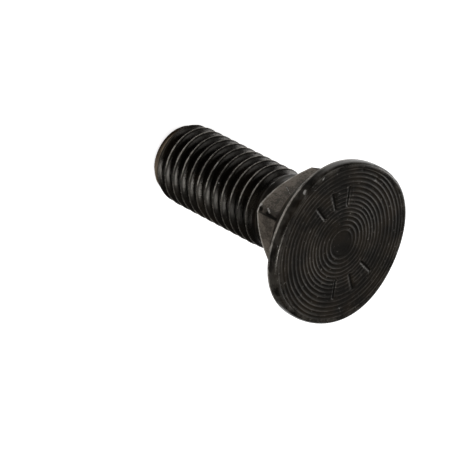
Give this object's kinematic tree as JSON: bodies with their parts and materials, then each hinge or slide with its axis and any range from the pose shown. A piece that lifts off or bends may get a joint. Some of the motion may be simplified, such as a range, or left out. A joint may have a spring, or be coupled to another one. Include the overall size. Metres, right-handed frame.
{
  "type": "plow bolt",
  "caption": "Forged plow bolt with a flat round countersunk head, a square neck and a coarse right-hand thread, in black oxide steel.",
  "frame": {"origin": "centre of the head's flat face, on the bolt's axis", "axes": "+Z along the axis out of the face, with the shank down -Z; +X and +Y square to two flats of the neck. The bolt stands on its tail."},
  "size_m": [0.0248, 0.0246, 0.0347],
  "materials": {
    "black_oxide_steel": "black oxide, satin, lightly worn on the edges"
  },
  "bodies": {
    "root": {"plow_bolt": "black_oxide_steel"}
  },
  "joints": []
}
